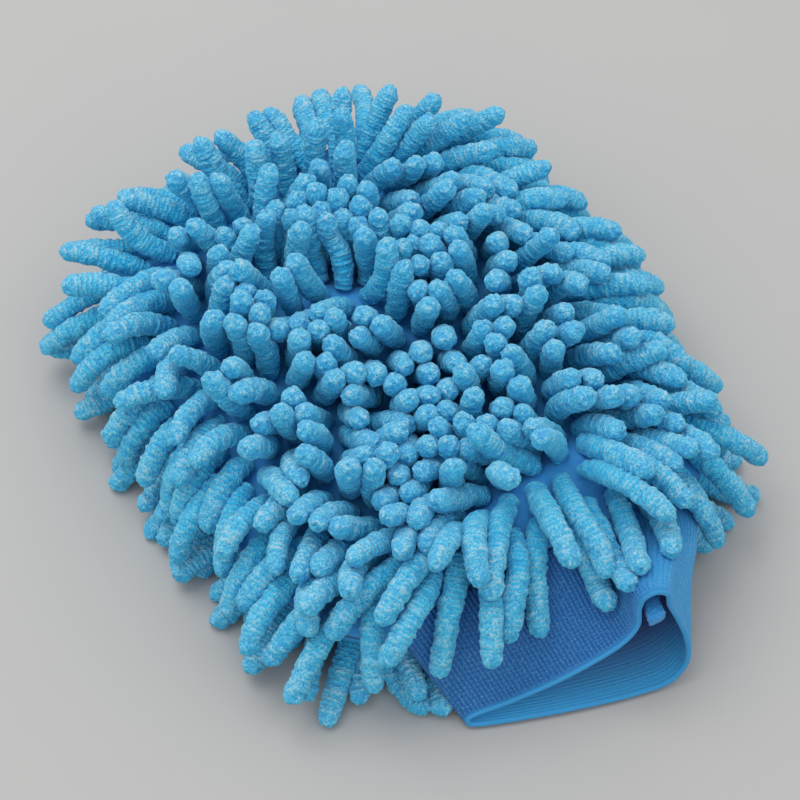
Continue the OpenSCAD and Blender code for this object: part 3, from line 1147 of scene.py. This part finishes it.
def bar(path, side, up, half_side, half_up, seed, lump, around):
    """A soft square-cornered bar along a path, with lumps like cut cloth; its ends are closed."""
    rng = np.random.default_rng(SEED + seed)
    side = np.broadcast_to(side, path.shape)
    up = np.broadcast_to(up, path.shape)
    angle = circle(around)
    c = np.sign(np.cos(angle)) * np.abs(np.cos(angle)) ** CORNER_POWER
    d = np.sign(np.sin(angle)) * np.abs(np.sin(angle)) ** CORNER_POWER
    ring = side[:, None] * (half_side * c)[None, :, None] + up[:, None] * (half_up * d)[None, :, None]
    ring = ring * (1 + rng.normal(0, lump, (len(path), around, 1)))
    verts = (path[:, None] + ring).reshape(-1, 3)
    faces = tube_faces(1, len(path), around).tolist()
    last = (len(path) - 1) * around
    for start, order in ((0, -1), (last, 1)):
        centre = len(verts)
        verts = np.vstack([verts, verts[start:start + around].mean(0)])
        for n in range(around):
            pair = [start + n, start + (n + 1) % around][::order]
            faces.append([centre, *pair])
    return verts, faces


def add_thread(name, path, radius, around, material):
    verts, faces = tube(path, radius, around)
    return make_piece(name, verts, faces, material)


def add_cuff_ends(cloth, thread):
    """The webbing's two cut ends, sewn together inside the raised loop, and their overlock thread."""
    # From near the pocket to just past the rim, hanging lower towards the rim
    s = np.linspace(0.08, 1.07, 80)
    stations = np.arange(len(s))
    drop = np.interp(s, [0, 0.7, 0.88, 1], [1, 5, 10.0, 10.5])
    tall = np.interp(s, [0, 0.5, 1], [1.6, 2.0, 2.8])
    path = loop_top(s) - np.stack([np.zeros_like(s), np.zeros_like(s), drop], 1)
    up = np.array([0, 0, 1.0]) * tall[:, None]
    verts, faces = bar(path, (1.0, 0, 0), up, ENDS_HALF_W, 1.0, 5, 0.06, 28)
    piece = make_piece("cuff_end_cut_edges", verts, faces, cloth)
    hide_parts("cuff_end_allowance")
    # The thread's turns are squarish, like the bar, and stop short of the fuzzy end
    u = np.linspace(0, 1, ENDS_TURNS * 14)
    at = u * 0.8 * (len(s) - 1)
    angle = u * ENDS_TURNS * 2 * math.pi
    wide = (ENDS_HALF_W + 0.2) * np.clip(np.cos(angle) * 1.5, -1, 1)
    high = (np.interp(at, stations, tall) + 0.25) * np.clip(np.sin(angle) * 1.5, -1, 1)
    helix = resample(at, stations, path) + np.stack([wide, np.zeros_like(wide), high], 1)
    piece = add_thread("cuff_end_overlock", helix, ENDS_THREAD_R, 8, thread)
    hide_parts("cuff_end_stitching")


def add_seam(name, node, path, inside, cloth, thread):
    """A turned-in allowance along a path, with overlock thread wound round its free edge."""
    flat = unit(np.stack([inside[:, 0], inside[:, 1], np.zeros(len(path))], 1))
    verts, faces = bar(path + flat * 2.3, flat, (0, 0, 1.0), 2.1, 0.95, 7, 0.04, SEAM_AROUND)
    piece = make_piece(name, verts, faces, cloth)
    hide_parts(node)
    length = distances(path)
    turns = int(length[-1] / OVERLOCK_PITCH)
    at = np.linspace(0, length[-1], turns * 10)
    centre = resample(at, length, path + flat * 3.1)
    level = unit(resample(at, length, flat))
    angle = at / length[-1] * turns * 2 * math.pi
    wound = level * (1.5 * np.cos(angle))[:, None] + np.array([0, 0, 1.25]) * np.sin(angle)[:, None]
    add_thread(f"{name}_overlock", centre + wound, SEAM_THREAD_R, 6, thread)


def add_pocket_seams(cloth, thread):
    """The seam round the pocket's edge, and the one that joins the cuff to it."""
    start = -math.asin(abs(float(along_share(WRIST_Y))) ** (PLAN_POWER / 2)) + math.radians(2)
    angle = np.linspace(start, math.pi - start, 420)
    c, s = np.cos(angle), np.sin(angle)
    x = HALF_W * np.sign(c) * np.abs(c) ** (2 / PLAN_POWER)
    y = MID_Y + np.sign(s) * np.abs(s) ** (2 / PLAN_POWER) * np.where(s > 0, FINGER_LEN, WRIST_LEN)
    path = np.stack([x, y, np.full_like(x, SEAM_Z)], 1)
    inside = np.array([0, MID_Y]) - path[:, :2]
    path[:, :2] += unit(inside) * 0.6
    add_seam("pocket_seam_allowance", "perimeter_seam", path, inside, cloth, thread)
    loop = wrist_loop(360)
    ring = np.stack([loop[:, 0], np.full(len(loop), WRIST_Y + 0.4), loop[:, 1]], 1)
    inner = unit(np.array([0, 0, WRIST_MID_Z]) - ring * np.array([0.75, 0, 1]))
    add_ring_seam(ring, inner, cloth, thread)


def add_ring_seam(ring, inner, cloth, thread):
    """The allowance that joins the cuff to the pocket, turned to the inside round the wrist."""
    path = ring + inner * 2.6
    path = np.vstack([path, path[:1]])
    inner = np.vstack([inner, inner[:1]])
    verts, faces = bar(path, (0, 1.0, 0), inner, 2.2, 0.75, 9, 0.03, SEAM_AROUND)
    piece = make_piece("cuff_join_allowance", verts, faces, cloth)
    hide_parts("cuff_attachment_seam")
    stations = np.arange(len(path))
    u = np.linspace(0, 1, RING_TURNS * 10)
    at = u * (len(path) - 1)
    across = unit(resample(at, stations, inner))
    angle = u * RING_TURNS * 2 * math.pi
    wound = across * (1.05 * np.sin(angle))[:, None] + np.array([0, 2.4, 0]) * np.cos(angle)[:, None]
    add_thread("cuff_join_overlock", resample(at, stations, path) + wound, SEAM_THREAD_R, 6, thread)


def main():
    bpy.context.scene.view_settings.view_transform = "Standard"
    add_camera()
    add_world()
    add_key_light()
    add_table(table_material())
    jersey = jersey_material()
    cut_edges = allowance_material()
    thread = thread_material()
    add_noodles(chenille_material())
    add_panel("front_fabric", "front_base_fabric", front_z, jersey, PANEL_T)
    add_panel("back_fabric", "back_base_fabric", back_z, jersey, -PANEL_T)
    add_cuff(webbing_material())
    add_cuff_ends(cut_edges, thread)
    add_pocket_seams(cut_edges, thread)


main()
